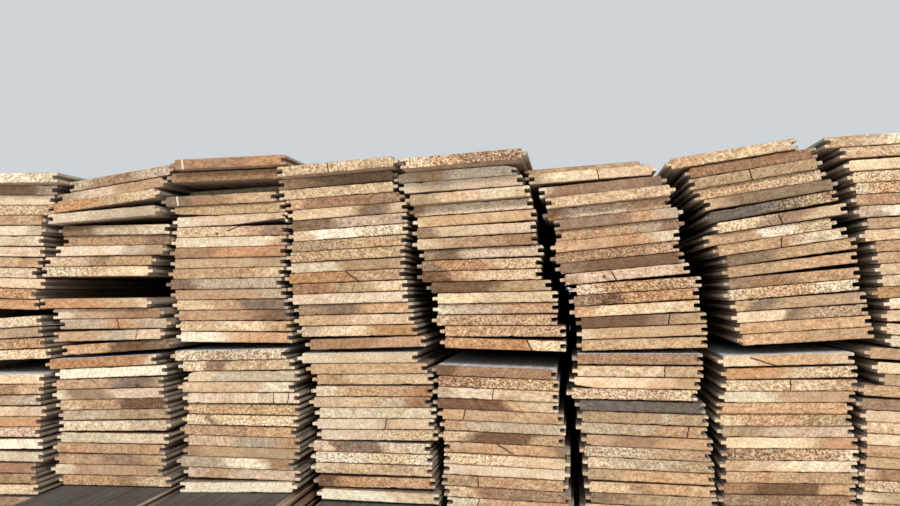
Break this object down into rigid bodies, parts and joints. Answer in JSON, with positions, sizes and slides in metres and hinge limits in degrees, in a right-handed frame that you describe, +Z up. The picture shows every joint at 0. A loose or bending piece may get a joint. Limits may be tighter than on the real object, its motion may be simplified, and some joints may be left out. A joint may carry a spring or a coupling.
{
  "type": "stack of lumber",
  "caption": "Open stack of tongue-and-groove softwood boards laid flat in side-by-side columns, with uneven tilted layers and rough sawn ends.",
  "frame": {"origin": "centre of the bounding box at the floor", "axes": "+Z up, boards run along Y with the face shown in the picture towards -Y, +X to the right of that face"},
  "size_m": [1.2866, 3.1856, 0.4817],
  "materials": {
    "board_wood": "rough sawn ends in straw, tan, rosy and orange tones, weathered grey-brown faces",
    "lath_wood": "rough sawn"
  },
  "bodies": {
    "root": {"column_1_upper_boards": "board_wood", "column_1_lower_boards": "board_wood", "column_1_bottom_boards": "board_wood", "column_2_upper_boards": "board_wood", "column_2_lower_boards": "board_wood", "column_2_bottom_boards": "board_wood", "column_3_upper_boards": "board_wood", "column_3_lower_boards": "board_wood", "column_3_bottom_boards": "board_wood", "column_4_upper_boards": "board_wood", "column_4_lower_boards": "board_wood", "column_4_bottom_boards": "board_wood", "column_5_upper_boards": "board_wood", "column_5_lower_boards": "board_wood", "column_5_bottom_boards": "board_wood", "column_6_upper_boards": "board_wood", "column_6_lower_boards": "board_wood", "column_6_bottom_boards": "board_wood", "column_7_upper_boards": "board_wood", "column_7_lower_boards": "board_wood", "column_7_bottom_boards": "board_wood", "column_8_upper_boards": "board_wood", "column_8_lower_boards": "board_wood", "column_8_bottom_boards": "board_wood", "packing_laths": "lath_wood"}
  },
  "joints": []
}
